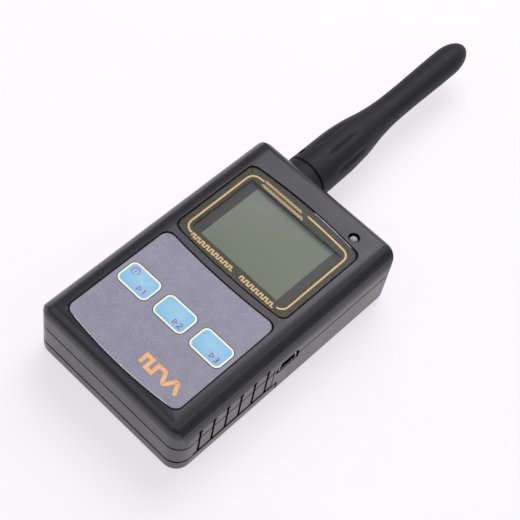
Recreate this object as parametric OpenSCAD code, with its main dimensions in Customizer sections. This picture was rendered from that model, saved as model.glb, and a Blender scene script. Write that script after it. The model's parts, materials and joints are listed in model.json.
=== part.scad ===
// Handheld frequency counter with a bayonet antenna.
// Origin at the centre of the flat rear face. +X is the reader's right,
// +Y points along the antenna and +Z out of the front panel. Millimetres.

/* [Case] */
// Width of the case
body_w = 63; // [62:0.5:66]
// Length of the case without the antenna
body_l = 99; // [98:0.5:103]
// Thickness of the case
body_h = 26.6; // [26.4:0.1:27]
// Wall thickness of both shells
wall = 2; // [1.8:0.1:2.2]
// Rounding of the long front edges
side_round = 8; // [7:0.5:8.5]
// Rounding of the front edges at both ends
end_round = 5; // [4:0.5:5.5]
// Rounding of the rear edges
back_round = 3; // [2.5:0.5:3]
// Rounding of the upright corners
corner_round = 5.5; // [5.5:0.5:7]
// Height of the parting plane between the two shells
split_z = 15.5; // [15:0.1:15.6]
// Height of the battery door's sides
door_h = 6.8; // [6.7:0.1:7]
// Where the battery door ends, along the case
door_top_y = -6; // [-6.5:0.5:-5.5]
// Where the rear shell meets the front shell's antenna end
cap_y = 43.6; // [43:0.2:44]
// Visible seam between the shells
seam = 0.4; // [0.25:0.05:0.45]
// Number of grip slots on each side
slot_count = 6; // [3:1:6]

/* [Front panel] */
// Half width of the display window and of the key overlay
panel_half = 23.7; // [23.4:0.1:23.8]
// Height of the visible display area
view_l = 26.8; // [24:0.2:26.8]
// Width of the visible display area
view_w = 33.4; // [30:0.2:33.4]
// Distance between neighbouring keys
key_pitch = 15.75; // [15.6:0.05:15.8]
// Width of a key top
key_w = 12.9; // [11:0.1:12.9]
// Length of a key top
key_l = 8.9; // [7:0.1:9]
// Key travel
key_travel = 0.3; // [0.2:0.05:0.3]

/* [Antenna] */
// Offset of the antenna axis from the middle of the case
antenna_x = -13.85; // [-14.6:0.05:-13.4]
// Length from the case to the antenna's tip
antenna_l = 93.3; // [90:0.5:98]
// Outer radius of the antenna's base
base_r = 8.35; // [8.15:0.05:8.4]
// Turns of the radiator coil
coil_turns = 15; // [8:1:16]

/* [Hidden] */
eps = 0.01;
half_w = body_w / 2;
half_l = body_l / 2;
inner_w = half_w - wall;
inner_l = half_l - wall;
front_z = body_h;
inner_z = body_h - wall;

// Front panel recesses and what lies in them
overlay_floor = front_z - 0.55;
overlay_z = front_z - 0.45;
overlay_t = 0.35;
lens_floor = front_z - 1.3;
lens_z = front_z - 1.2;
lens_t = 1.1;
edge_gap = 0.5;
panel_corner = 3;
// Each outline is [lower edge, upper edge, bow of the lower edge, bow of the upper edge]
overlay_edges = [-44, -1.6, 1.7, 1.1];
lens_edges = [1.65, 36.85, 1.1, -1.45];
view_y = 19.5;
// Opening in the front shell over the display
opening_w = view_w + 7;
opening_l = view_l + 2.2;
opening_round = 1.5;
key_y = -21.5;
key_corner = 2.2;
key_top_z = front_z + 0.02;
led_at = [18, 40.7];
led_hole_d = 3.9;

// Side grip
grip_y0 = -42.8;
grip_y1 = -8.4;
grip_z0 = door_h + 0.3;
grip_z1 = 21;
grip_depth = 0.12;
slot_y0 = -40.6;
slot_pitch = 5.8;
slot_w = 1;
slot_depth = 0.55;
slot_z1 = 19.4;
slot_head_r = 0.95;
slot_head_depth = 1.3;

// Main board
board_z = 18;
board_t = 1.6;
board_top = board_z + board_t;
board_half = 28.5;
board_y0 = -47;
board_y1 = 46;
board_post_at = [[-25.8, 9], [25.8, 9], [-25.8, -13], [25.8, -13]];
case_post_at = [[-25.6, 38.5], [25.6, 38.5], [-25.6, -44.2], [25.6, -44.2]];
screw_seat_z = 10.4;
screw_r = 1.1;
screw_head_r = 2.3;
screw_l = 9.4;
post_bore_r = 1.15;
board_screw_r = 0.95;

// Height of a switch button's lower end above the board, at rest
button_rest = 2.4;

// Battery compartment
ceiling_z = 8.8;
ceiling_t = 1.4;
battery_size = [50, 33, 5.4];
battery_y = -26.1;
battery_z = 3;
hook_y = [-40, -26, -12];
hook_reach = 28.9;
lead_gate = [-21, -8];

// USB inlet on the right-hand side
usb_y = -2.4;
usb_z = 16;
usb_l = 9;
usb_face = half_w - 0.2;

// Input jack and antenna, by distance along Y
jack_z = body_h / 2;
flange_y = half_l;
barrel_y = flange_y + 1;
barrel_end = flange_y + 10.8;
stud_y = flange_y + 6;
stud_swing = 14;
barrel_r = 4.8;
thread_r = 4.7;
barrel_bore_r = 4.15;
ferrule_r = 4.05;
pin_r = 0.68;
sheath_y = half_l + 0.4;
sheath_end = half_l + antenna_l;
collar_y = half_l + 1.4;
collar_web_y = half_l + 11.5;
collar_end = half_l + 13.5;
collar_r = 7.15;
coil_y0 = half_l + 21.2;
coil_y1 = sheath_end - 14;
coil_r = 2.2;
coil_wire_r = 0.4;
// Outer radius of the antenna, as [distance from the case, radius]
whip_stations = [[0.4, base_r], [12, base_r], [18.5, base_r - 0.05], [22.5, base_r - 0.15],
    [26.5, 7.9], [30.5, 7.45], [34.5, 6.8], [38.5, 6.1], [42.5, 5.6], [46.5, 5.27], [50.5, 5.1],
    [58.5, 5.05], [66.5, 5.15], [74.5, 5.3], [82.5, 5.35]];
// Length of the rounded tip
tip_l = 10.8;
groove_y = half_l + 4.9;
flute_count = 8;
flute_y = half_l + 13;
flute_turn = 17;
// Small notch in the left-hand side of the base
notch_turn = -152;
notch_y = half_l + 7.8;

// Points of an arc, counter-clockwise from angle a0 to a1
function arc(cx, cy, r, a0, a1, n = 8) =
    [for (i = [0:n]) let (a = a0 + (a1 - a0) * i / n) [cx + r * cos(a), cy + r * sin(a)]];

// Rounded rectangle whose upper and lower corners have their own radii
function rounded(half, y0, y1, r_top, r_low, n = 8) = concat(
    arc(half - r_top, y1 - r_top, r_top, 0, 90, n),
    arc(-half + r_top, y1 - r_top, r_top, 90, 180, n),
    arc(-half + r_low, y0 + r_low, r_low, 180, 270, n),
    arc(half - r_low, y0 + r_low, r_low, 270, 360, n));

// A height along a bowed edge
function bow_y(edge, bow, x, half) = edge - bow * (1 - (x / half) * (x / half));

// Panel outline with straight sides, bowed ends and rounded corners, grown by g
function panel_outline(edges, g = 0, n = 8) =
    let (half = panel_half + g, r = panel_corner, x = half - r,
        low = bow_y(edges[0] - g, edges[2], x, half), up = bow_y(edges[1] + g, edges[3], x, half))
    concat(
        [for (i = [1:n - 1]) let (u = -x + 2 * x * i / n) [u, bow_y(edges[0] - g, edges[2], u, half)]],
        arc(x, low + r, r, 270, 360, 6),
        arc(x, up - r, r, 0, 90, 6),
        [for (i = [1:n - 1]) let (u = x - 2 * x * i / n) [u, bow_y(edges[1] + g, edges[3], u, half)]],
        arc(-x, up - r, r, 90, 180, 6),
        arc(-x, low + r, r, 180, 270, 6));

// Point t along a cubic curve
function bezier(p, t) = pow(1 - t, 3) * p[0] + 3 * t * pow(1 - t, 2) * p[1]
    + 3 * t * t * (1 - t) * p[2] + pow(t, 3) * p[3];

// Smooth curve through the stations v, with m steps between neighbours
function smooth(v, m = 4) = concat(
    [for (i = [0:len(v) - 2]) for (k = [0:m - 1])
        let (t = k / m, a = v[max(i - 1, 0)], b = v[i], c = v[i + 1], d = v[min(i + 2, len(v) - 1)])
        0.5 * (2 * b + (c - a) * t + (2 * a - 5 * b + 4 * c - d) * t * t
            + (3 * b - a - 3 * c + d) * t * t * t)],
    [v[len(v) - 1]]);

function unit(v) = v / norm(v);

// Round tube of radius r along the points p; up is never parallel to the route
module sweep(p, r, up, sides = 8) {
    last = len(p) - 1;
    rings = [for (i = [0:last])
        let (t = unit(p[min(i + 1, last)] - p[max(i - 1, 0)]), u = unit(cross(t, up)), w = cross(u, t))
        [for (k = [0:sides - 1]) p[i] + r * cos(360 * k / sides) * u + r * sin(360 * k / sides) * w]];
    points = [for (ring = rings) each ring];
    skin = [for (i = [0:last - 1]) for (k = [0:sides - 1])
        let (a = i * sides + k, b = i * sides + (k + 1) % sides)
        each [[a, b, b + sides], [a, b + sides, a + sides]]];
    ends = [[for (k = [sides - 1:-1:0]) k], [for (k = [0:sides - 1]) last * sides + k]];
    polyhedron(points, concat(skin, ends), convexity = 4);
}

// Block from corner a to corner b
module block(a, b) {
    translate(a) cube(b - a);
}

module rounded_block(w, l, r, z0, z1) {
    translate([0, 0, z0]) linear_extrude(z1 - z0) polygon(rounded(w / 2, -l / 2, l / 2, r, r, 6));
}

// Places children, drawn along Z, on the antenna axis that runs along Y
module on_axis() {
    translate([antenna_x, 0, jack_z]) rotate([-90, 0, 0]) children();
}

module ring(y0, y1, r_out, r_in) {
    on_axis() difference() {
        translate([0, 0, y0]) cylinder(h = y1 - y0, r = r_out, $fn = 64);
        translate([0, 0, y0 - 1]) cylinder(h = y1 - y0 + 2, r = r_in, $fn = 64);
    }
}

// Outer form of the case, moved inward by inset; its upright corners turn the end's outline
module case_form(inset = 0) {
    w = half_w - inset;
    l = half_l - inset;
    z0 = inset;
    z1 = body_h - inset;
    low = max(back_round - inset, 0.9);
    end = end_round - inset;
    corner = corner_round - inset;
    corner_outline = concat([[0, z0]], arc(corner - low, z0 + low, low, 270, 360),
        arc(corner - end, z1 - end, end, 0, 90), [[0, z1]]);
    intersection() {
        rotate([90, 0, 0]) linear_extrude(2 * l + 2, center = true)
            polygon(rounded(w, z0, z1, side_round - inset, low));
        rotate([90, 0, 90]) linear_extrude(2 * w + 2, center = true)
            polygon(rounded(l, z0, z1, end, low));
        union() {
            block([corner - w, -l - 1, z0 - 1], [w - corner, l + 1, z1 + 1]);
            block([-w - 1, corner - l, z0 - 1], [w + 1, l - corner, z1 + 1]);
            for (x = [corner - w, w - corner]) for (y = [corner - l, l - corner])
                translate([x, y, 0]) rotate_extrude($fn = 64) polygon(corner_outline);
        }
    }
}

module case_wall() {
    difference() {
        case_form();
        case_form(wall);
    }
}

// Space that belongs to the rear shell and the battery door
module rear_space(top) {
    block([-body_w, -body_l, -1], [body_w, cap_y - seam / 2, top]);
}

// Space that belongs to the battery door, grown by g
module door_space(g) {
    block([-body_w, -body_l, -2], [body_w, door_top_y + g, door_h + g]);
}

// Shallow grip recess and its round-headed slots, on both long sides
module side_grip() {
    for (side = [-1, 1]) {
        translate([side * (half_w - grip_depth + 2), 0, 0]) rotate([90, 0, 90])
            linear_extrude(4, center = true) translate([(grip_y0 + grip_y1) / 2, 0])
                polygon(rounded((grip_y1 - grip_y0) / 2, grip_z0, grip_z1, 4, 0.5));
        for (i = [0:slot_count - 1]) translate([side * half_w, slot_y0 + i * slot_pitch, 0]) {
            block([-slot_depth, -slot_w / 2, grip_z0], [slot_depth, slot_w / 2, slot_z1]);
            translate([0, 0, slot_z1]) rotate([0, 90, 0])
                cylinder(h = 2 * slot_head_depth, r = slot_head_r, center = true, $fn = 32);
        }
    }
}

// USB cut-out in the right-hand wall, wider at the bottom
module usb_cutout() {
    top = 4.2;
    low = 5;
    translate([half_w - 4, usb_y, 0]) rotate([90, 0, 90]) linear_extrude(8)
        polygon([[-low, usb_z - 2.5], [low, usb_z - 2.5], [low, usb_z + 0.6], [top, usb_z + 2.4],
            [-top, usb_z + 2.4], [-low, usb_z + 0.6]]);
}

module jack_hole() {
    on_axis() translate([0, 0, inner_l - 2]) cylinder(h = 6, r = thread_r + 0.2, $fn = 64);
}

// Front shell: wall above the parting plane and the whole antenna end
module front_cover() {
    case_post_r = 2.7;
    board_post_r = 2.2;
    color([0.22, 0.22, 0.23]) difference() {
        union() {
            difference() {
                case_wall();
                rear_space(split_z + seam / 2);
                intersection() {
                    case_form(wall / 2 + 0.1);
                    block([-body_w, -body_l, 0], [body_w, cap_y, split_z + 1.4]);
                }
            }
            intersection() {
                case_form(wall / 2);
                union() {
                    for (p = case_post_at) translate([p[0], p[1], split_z + seam / 2])
                        cylinder(h = body_h, r = case_post_r, $fn = 48);
                    for (p = board_post_at) translate([p[0], p[1], board_top])
                        cylinder(h = body_h, r = board_post_r, $fn = 48);
                }
            }
        }
        for (p = case_post_at) translate([p[0], p[1], split_z - 1])
            cylinder(h = 7, r = post_bore_r, $fn = 32);
        for (p = board_post_at) translate([p[0], p[1], board_top - 1])
            cylinder(h = 5, r = board_screw_r, $fn = 32);
        translate([0, 0, overlay_floor]) linear_extrude(5)
            polygon(panel_outline(overlay_edges, edge_gap));
        translate([0, 0, lens_floor]) linear_extrude(5)
            polygon(panel_outline(lens_edges, edge_gap));
        translate([0, view_y, 0])
            rounded_block(opening_w, opening_l, opening_round, inner_z - 2, front_z);
        for (i = [-1:1]) translate([i * key_pitch, key_y, 0])
            rounded_block(key_w + 0.8, key_l + 0.8, key_corner + 0.4, inner_z - 2, front_z);
        translate([led_at[0], led_at[1], inner_z - 3]) cylinder(h = 9, r = led_hole_d / 2, $fn = 48);
        side_grip();
        usb_cutout();
        jack_hole();
    }
}

// Rear shell, with the battery ceiling, door hooks and screw towers
module rear_cover() {
    lip = 1.2;
    tower_r = 3.5;
    bulkhead_y = door_top_y + 1.7;
    tower_top = split_z - seam / 2;
    color([0.27, 0.27, 0.28]) difference() {
        union() {
            intersection() {
                case_wall();
                rear_space(tower_top);
            }
            intersection() {
                difference() {
                    case_form(wall / 2 + 0.25);
                    case_form(wall);
                }
                block([-body_w, -body_l, split_z - 2], [body_w, cap_y - seam, split_z + lip]);
            }
            intersection() {
                case_form(wall / 2);
                union() {
                    block([-half_w, -half_l, ceiling_z], [half_w, bulkhead_y, ceiling_z + ceiling_t]);
                    block([-half_w, door_top_y + 0.2, 0.5], [half_w, bulkhead_y, ceiling_z + ceiling_t]);
                    for (p = case_post_at) {
                        foot = p[1] > 0 ? 1 : ceiling_z;
                        translate([p[0], p[1], foot]) cylinder(h = tower_top - foot, r = tower_r, $fn = 48);
                    }
                }
            }
            for (side = [0, 1]) for (y = hook_y) translate([0, y - 2, 0]) mirror([side, 0, 0]) {
                block([26.3, 0, 3.4], [27.3, 4, ceiling_z + 0.5]);
                block([26.3, 0, 3.4], [hook_reach, 4, 4.6]);
            }
        }
        difference() {
            door_space(seam / 2 + 0.05);
            block([-hook_reach - 0.1, hook_y[0] - 4, 3.3],
                [hook_reach + 0.1, door_top_y - 1, door_h + 1]);
        }
        block([-9, door_top_y - 1, 1.2], [9, door_top_y + 3, 3]);
        for (p = case_post_at) translate([p[0], p[1], -1]) {
            cylinder(h = screw_seat_z + 1, r = screw_head_r + 0.3, $fn = 48);
            cylinder(h = split_z + 2, r = screw_r + 0.2, $fn = 32);
        }
        block([lead_gate[0] - 3.5, lead_gate[1] - 1.4, ceiling_z - 1],
            [lead_gate[0] + 3.5, lead_gate[1] + 1.4, ceiling_z + 3]);
        side_grip();
        usb_cutout();
    }
}

// Battery door: floor, low side walls with slide ledges, and a tongue
module battery_door() {
    ledge_z = 4.9;
    grip_ridges = 5;
    color([0.27, 0.27, 0.28]) difference() {
        union() {
            intersection() {
                case_wall();
                door_space(-seam / 2 - 0.05);
            }
            for (side = [0, 1]) mirror([side, 0, 0])
                block([28.1, -46, ledge_z], [inner_w + 0.5, door_top_y - 2, ledge_z + 1.4]);
            block([-8, door_top_y - 3, 1.5], [8, door_top_y + 1.8, 2.6]);
        }
        for (i = [0:grip_ridges - 1])
            block([-8, door_top_y - 6 - i * 2, -1], [8, door_top_y - 5 - i * 2, 0.5]);
        for (side = [-1, 1]) translate([side * half_w, door_top_y, door_h])
            rotate([0, 90, 0]) cylinder(h = 3, r = 1.1, center = true, $fn = 32);
    }
}

module case_screws() {
    color([0.6, 0.6, 0.62]) for (p = case_post_at) translate([p[0], p[1], screw_seat_z]) difference() {
        union() {
            cylinder(h = screw_l, r = screw_r, $fn = 32);
            translate([0, 0, -1.7]) cylinder(h = 1.7, r = screw_head_r, $fn = 48);
        }
        translate([0, 0, -1.7]) for (a = [0, 90]) rotate(a) block([-1.5, -0.25, -1], [1.5, 0.25, 1]);
    }
}

// Clear display window
module lens_window() {
    color([0.3, 0.33, 0.3]) translate([0, 0, lens_z]) linear_extrude(lens_t)
        polygon(panel_outline(lens_edges));
}

module lens_adhesive() {
    color([0.15, 0.15, 0.15]) difference() {
        translate([0, 0, lens_floor]) linear_extrude(lens_z - lens_floor)
            polygon(panel_outline(lens_edges, -0.4));
        translate([0, view_y, 0]) rounded_block(opening_w + 0.6, opening_l + 0.6, opening_round, 0, body_h);
    }
}

module key_windows(grow) {
    for (i = [-1:1]) translate([i * key_pitch, key_y, 0])
        rounded_block(key_w + grow, key_l + grow, key_corner + grow / 2, 0, body_h + 1);
}

module keypad_overlay() {
    color([0.59, 0.58, 0.64]) difference() {
        translate([0, 0, overlay_z]) linear_extrude(overlay_t) polygon(panel_outline(overlay_edges));
        key_windows(0.4);
    }
}

module overlay_adhesive() {
    color([0.8, 0.78, 0.7]) difference() {
        translate([0, 0, overlay_floor]) linear_extrude(overlay_z - overlay_floor)
            polygon(panel_outline(overlay_edges, -0.4));
        key_windows(1.2);
    }
}

// Key top with its retaining flange and stem
module key_top(i) {
    flange_z = inner_z - 0.6;
    color([0.58, 0.8, 0.88]) translate([(i - 2) * key_pitch, key_y, 0]) {
        rounded_block(key_w, key_l, key_corner, flange_z + 0.3, key_top_z);
        rounded_block(key_w + 2, key_l + 2, key_corner + 0.8, flange_z, flange_z + 0.5);
        translate([0, 0, flange_z - 0.25]) cylinder(h = 0.5, r = 1.6, $fn = 32);
    }
}

module key_1() {
    key_top(1);
}

module key_2() {
    key_top(2);
}

module key_3() {
    key_top(3);
}

// Two glass plates; the lower one is longer and carries the contacts
module lcd_glass() {
    color([0.45, 0.5, 0.45]) translate([0, view_y, 0]) {
        rounded_block(42, 34, 0.3, inner_z - 2.7, inner_z - 1.2);
        rounded_block(42, 30.5, 0.3, inner_z - 1.3, inner_z - 0.05);
    }
}

module lcd_frame() {
    color([0.88, 0.88, 0.85]) translate([0, view_y, 0]) difference() {
        rounded_block(44.4, 36.4, 0.8, board_top, inner_z - 0.2);
        rounded_block(42.3, 34.3, 0.4, board_top - 1, inner_z + 1);
    }
}

module backlight_panel() {
    color([0.85, 0.9, 0.75]) translate([0, view_y, 0])
        rounded_block(40, 28, 0.6, board_top + 0.2, board_top + 2.1);
}

module elastomer_strips() {
    color([0.9, 0.6, 0.65]) for (side = [-1, 1])
        translate([0, view_y + side * 15.6, 0]) rounded_block(40, 1.8, 0.2, board_top, inner_z - 2.7);
}

// Circuit board, notched for the screw posts and the input jack
module main_board() {
    notch = 4;
    color([0.1, 0.38, 0.2]) difference() {
        translate([0, 0, board_z]) linear_extrude(board_t)
            polygon(rounded(board_half, board_y0, board_y1, 2, 2, 4));
        for (p = case_post_at) translate([p[0], p[1], 0])
            block([-notch, -notch, 0], [notch, notch, body_h]);
        block([-half_w, 36, 0], [antenna_x + 8, half_l, body_h]);
        for (p = board_post_at) translate([p[0], p[1], board_z - 1]) cylinder(h = 4, r = 1.15, $fn = 32);
        for (side = [-1, 1]) translate([led_at[0] + side * 1.27, led_at[1], board_z - 1])
            cylinder(h = 4, r = 0.45, $fn = 24);
    }
}

module board_screws() {
    color([0.7, 0.7, 0.72]) for (p = board_post_at) translate([p[0], p[1], board_z]) difference() {
        union() {
            cylinder(h = 5.2, r = 0.9, $fn = 32);
            translate([0, 0, -1.2]) cylinder(h = 1.2, r = 1.8, $fn = 48);
        }
        translate([0, 0, -1.2]) for (a = [0, 90]) rotate(a) block([-1.2, -0.2, -1], [1.2, 0.2, 0.7]);
    }
}

module switch_bodies() {
    color([0.2, 0.2, 0.2]) for (i = [-1:1]) translate([i * key_pitch, key_y, board_top]) difference() {
        union() {
            block([-3, -3, 0], [3, 3, 2.8]);
            for (side = [-1, 1]) block([side * 3.3 - 0.9, -2.6, 0], [side * 3.3 + 0.9, -1.8, 0.2]);
            for (side = [-1, 1]) block([side * 3.3 - 0.9, 1.8, 0], [side * 3.3 + 0.9, 2.6, 0.2]);
        }
        translate([0, 0, button_rest - key_travel - 0.1]) cylinder(h = 2, r = 1.8, $fn = 32);
    }
}

module switch_button(i) {
    color([0.75, 0.72, 0.65]) translate([(i - 2) * key_pitch, key_y, board_top + button_rest])
        cylinder(h = inner_z - 0.9 - board_top - button_rest, r = 1.7, $fn = 32);
}

module switch_button_1() {
    switch_button(1);
}

module switch_button_2() {
    switch_button(2);
}

module switch_button_3() {
    switch_button(3);
}

module status_led() {
    led_r = 1.5;
    dome_z = front_z - 1.6;
    color([0.85, 0.85, 0.82]) translate([led_at[0], led_at[1], 0]) {
        translate([0, 0, board_top + 1]) cylinder(h = 0.8, r = 1.75, $fn = 48);
        translate([0, 0, board_top + 1.5]) cylinder(h = dome_z - board_top - 1.5, r = led_r, $fn = 48);
        translate([0, 0, dome_z]) sphere(r = led_r, $fn = 48);
    }
}

module led_leads() {
    color([0.75, 0.75, 0.75]) for (side = [-1, 1]) translate([led_at[0] + side * 1.27, led_at[1], 0])
        block([-0.25, -0.25, board_z - 0.6], [0.25, 0.25, board_top + 1]);
}

// Pressed-metal inlet shell, wider at the bottom
module usb_shell() {
    t = 0.35;
    low = 3.85;
    top = 3.3;
    h = 2;
    color([0.78, 0.78, 0.78]) translate([usb_face - usb_l, usb_y, usb_z]) rotate([90, 0, 90])
        linear_extrude(usb_l) difference() {
            polygon([[-low, -h], [low, -h], [low, 0.4], [top, h], [-top, h], [-low, 0.4]]);
            polygon([[-low + t, -h + t], [low - t, -h + t], [low - t, 0.3], [top - t, h - t],
                [-top + t, h - t], [-low + t, 0.3]]);
        }
}

module usb_tongue() {
    color([0.1, 0.1, 0.1]) translate([usb_face - usb_l, usb_y, usb_z]) {
        block([0.1, -2.8, -1.5], [2.2, 2.8, 1.5]);
        block([1, -2.1, -0.3], [usb_l - 0.9, 2.1, 0.6]);
    }
}

module shield_can() {
    color([0.72, 0.72, 0.74]) difference() {
        block([-25, 14, board_z - 3.2], [-5, 34, board_z]);
        block([-24.7, 14.3, board_z - 2.9], [-5.3, 33.7, board_z + 1]);
    }
}

module oscillator_can() {
    color([0.8, 0.8, 0.78]) {
        translate([10, 24, 0]) rounded_block(11.4, 9.6, 1.2, board_z - 2.6, board_z);
        translate([10, 24, 0]) rounded_block(12.2, 10.4, 1.4, board_z - 0.4, board_z);
    }
}

// Packages on the rear side of the board: [x, y, width, length, height]
module integrated_circuits() {
    packages = [[4, 4, 10, 10, 1.4], [-16, 24, 5, 4.4, 1.2], [-16, 6, 6, 5, 1.5],
        [12, -10, 6, 5, 1.5], [20, 12, 4, 3, 1.1]];
    color([0.08, 0.08, 0.09]) for (p = packages) translate([p[0], p[1], 0])
        rounded_block(p[2], p[3], 0.2, board_z - p[4], board_z);
}

module chip_parts() {
    color([0.6, 0.5, 0.4]) for (row = [0:2]) for (k = [0:5])
        translate([-12 + 4 * k, -14 - 5 * row, 0])
            rounded_block(2, 1.25, 0.1, board_z - 0.7, board_z);
}

module battery_header() {
    color([0.93, 0.92, 0.88]) translate([lead_gate[0], 1, 0]) difference() {
        block([-3, -2.5, board_z - 4.2], [3, 2.5, board_z]);
        block([-2.4, -3, board_z - 3.6], [2.4, 1.6, board_z - 0.8]);
    }
}

module battery_plug() {
    color([0.95, 0.95, 0.92]) translate([lead_gate[0], 1, 0])
        block([-2.2, -4.2, board_z - 3.4], [2.2, 1.4, board_z - 1]);
}

// One lead from the battery's edge up through the gate to the plug
module battery_lead(x) {
    y0 = battery_y + battery_size[1] / 2;
    curve = [[x, y0, 5.5], [x, y0 + 3, 5.5], [x, lead_gate[1], 15.5], [x, -3.2, board_z - 2.2]];
    sweep([for (i = [0:14]) bezier(curve, i / 14)], 0.4, [1, 0, 0]);
}

module battery_lead_red() {
    color([0.75, 0.1, 0.1]) battery_lead(lead_gate[0] - 1);
}

module battery_lead_black() {
    color([0.1, 0.1, 0.1]) battery_lead(lead_gate[0] + 1);
}

module battery_cell() {
    z1 = battery_z + battery_size[2];
    color([0.75, 0.77, 0.8]) translate([0, battery_y, 0]) rotate([90, 0, 0])
        linear_extrude(battery_size[1], center = true)
            polygon(rounded(battery_size[0] / 2, battery_z, z1, 1.6, 1.6, 6));
}

module battery_foam() {
    color([0.3, 0.3, 0.32]) translate([0, battery_y, 0]) rounded_block(30, 20, 1, wall, battery_z - 0.25);
}

// Bulkhead bayonet jack: threaded stem, flange, barrel and two studs
module jack_body() {
    stem_y = flange_y - 9.5;
    color([0.78, 0.76, 0.7]) on_axis() difference() {
        union() {
            translate([0, 0, stem_y]) cylinder(h = barrel_end - stem_y, r = thread_r, $fn = 64);
            translate([0, 0, flange_y + eps]) cylinder(h = 1, r = 6.3, $fn = 64);
            translate([0, 0, barrel_y]) cylinder(h = barrel_end - barrel_y, r = barrel_r, $fn = 64);
            translate([0, 0, stud_y]) rotate([0, 90, 0]) cylinder(h = 11.2, r = 1, center = true, $fn = 32);
        }
        translate([0, 0, flange_y - 10]) cylinder(h = 30, r = 2.6, $fn = 48);
        translate([0, 0, flange_y + 2.3]) cylinder(h = 20, r = barrel_bore_r, $fn = 64);
    }
}

module jack_insulator() {
    color([0.95, 0.95, 0.95]) on_axis() difference() {
        union() {
            translate([0, 0, flange_y - 9.8]) cylinder(h = 12, r = 2.55, $fn = 48);
            translate([0, 0, flange_y]) cylinder(h = 7.5, r = 2.35, $fn = 48);
        }
        translate([0, 0, flange_y - 12]) cylinder(h = 24, r = 1.2, $fn = 32);
    }
}

module jack_contact() {
    color([0.85, 0.68, 0.3]) on_axis() difference() {
        translate([0, 0, flange_y - 12.5]) cylinder(h = 20, r = 1.15, $fn = 32);
        translate([0, 0, flange_y + 2.5]) cylinder(h = 10, r = pin_r + 0.05, $fn = 32);
        translate([0, 0, flange_y - 13]) cylinder(h = 2.5, r = 0.6, $fn = 32);
    }
}

module jack_nut() {
    color([0.78, 0.76, 0.7]) on_axis() difference() {
        translate([0, 0, inner_l - 3.1]) cylinder(h = 2.05, r = 6.9, $fn = 6);
        translate([0, 0, inner_l - 4]) cylinder(h = 4, r = thread_r + 0.1, $fn = 64);
    }
}

module jack_washer() {
    color([0.7, 0.7, 0.7]) ring(inner_l - 1, inner_l - 0.45, 6.6, thread_r + 0.15);
}

module ground_lug() {
    tab = 1.4;
    y0 = inner_l - 0.4;
    y1 = inner_l - 0.05;
    tab_z = jack_z - 9.8;
    color([0.85, 0.7, 0.4]) union() {
        ring(y0, y1, 6.4, thread_r + 0.15);
        block([antenna_x - tab, y0, tab_z], [antenna_x + tab, y1, jack_z - 6]);
        block([antenna_x - tab, y0 - 3, tab_z], [antenna_x + tab, y1, tab_z + 0.35]);
    }
}

// Centre conductor from the jack's solder cup to the board
module feed_wire() {
    y0 = flange_y - 11.2;
    curve = [[antenna_x, y0, jack_z], [antenna_x, y0 - 3, jack_z], [antenna_x, y0 - 3.2, jack_z + 1],
        [antenna_x, y0 - 3.3, board_z]];
    color([0.85, 0.6, 0.35]) sweep([for (i = [0:12]) bezier(curve, i / 12)], 0.4, [1, 0, 0]);
}

// Moulded rubber whip: flared base with finger flutes, slim neck, rounded tip
module antenna_sheath() {
    flute_r = 1.5;
    tip_r = whip_stations[len(whip_stations) - 1][1];
    tip_y = sheath_end - tip_l;
    outline = smooth(whip_stations);
    tip = [for (i = [1:8]) [tip_r * cos(11.25 * i), tip_y + (sheath_end - tip_y) * sin(11.25 * i)]];
    color([0.2, 0.2, 0.21]) on_axis() difference() {
        rotate_extrude($fn = 96) polygon(concat([[0, sheath_y]],
            [for (q = outline) [q[1], half_l + q[0]]], tip));
        translate([0, 0, half_l]) cylinder(h = collar_end + 0.2 - half_l, r = collar_r + 0.05, $fn = 64);
        translate([0, 0, collar_end]) cylinder(h = 1.6, r = 5.9, $fn = 64);
        translate([0, 0, collar_end]) cylinder(h = 4, r = 4.35, $fn = 64);
        translate([0, 0, collar_end]) cylinder(h = coil_y1 + 1 - collar_end, r = 3.3, $fn = 48);
        rotate_extrude($fn = 96) translate([base_r + 0.1, groove_y]) circle(r = 0.5, $fn = 24);
        for (k = [0:flute_count - 1]) rotate(flute_turn + 360 * k / flute_count)
            translate([base_r + 1, 0, flute_y]) {
                cylinder(h = 24, r = flute_r, $fn = 32);
                sphere(r = flute_r, $fn = 32);
            }
        rotate(notch_turn) block([base_r - 0.9, -1, notch_y], [base_r + 1, 1, notch_y + 2.6]);
    }
}

// Bayonet collar inside the base of the sheath, relieved where the studs travel
module bayonet_collar() {
    color([0.75, 0.74, 0.7]) on_axis() difference() {
        translate([0, 0, collar_y]) cylinder(h = collar_end - collar_y, r = collar_r, $fn = 64);
        translate([0, 0, collar_y - 1]) cylinder(h = collar_web_y - collar_y + 1, r = 4.95, $fn = 64);
        translate([0, 0, collar_y]) cylinder(h = 20, r = ferrule_r + 0.07, $fn = 64);
        for (a = [0, 180]) rotate(a - 90 - stud_swing) rotate_extrude(angle = 90 + 2 * stud_swing, $fn = 64)
            translate([4.5, collar_y - 1]) square([1.5, stud_y + 1.4 - collar_y + 1]);
    }
}

// Helical radiator
module antenna_coil() {
    steps = 10;
    last = coil_turns * steps;
    color([0.7, 0.55, 0.4]) on_axis() sweep([for (i = [0:last])
        [coil_r * cos(360 * i / steps), coil_r * sin(360 * i / steps),
            coil_y0 + (coil_y1 - coil_y0) * i / last]], coil_wire_r, [0, 0, 1], 6);
}

module antenna_ferrule() {
    color([0.78, 0.76, 0.7]) on_axis() difference() {
        union() {
            translate([0, 0, flange_y + 2.9]) cylinder(h = 13.6, r = ferrule_r, $fn = 64);
            translate([0, 0, collar_end + 0.2]) cylinder(h = 1.1, r = 5.6, $fn = 64);
        }
        translate([0, 0, flange_y]) cylinder(h = 30, r = 2.75, $fn = 48);
    }
}

module antenna_insulator() {
    color([0.95, 0.95, 0.95]) ring(flange_y + 9, flange_y + 16.5, 2.7, pin_r + 0.03);
}

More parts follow.
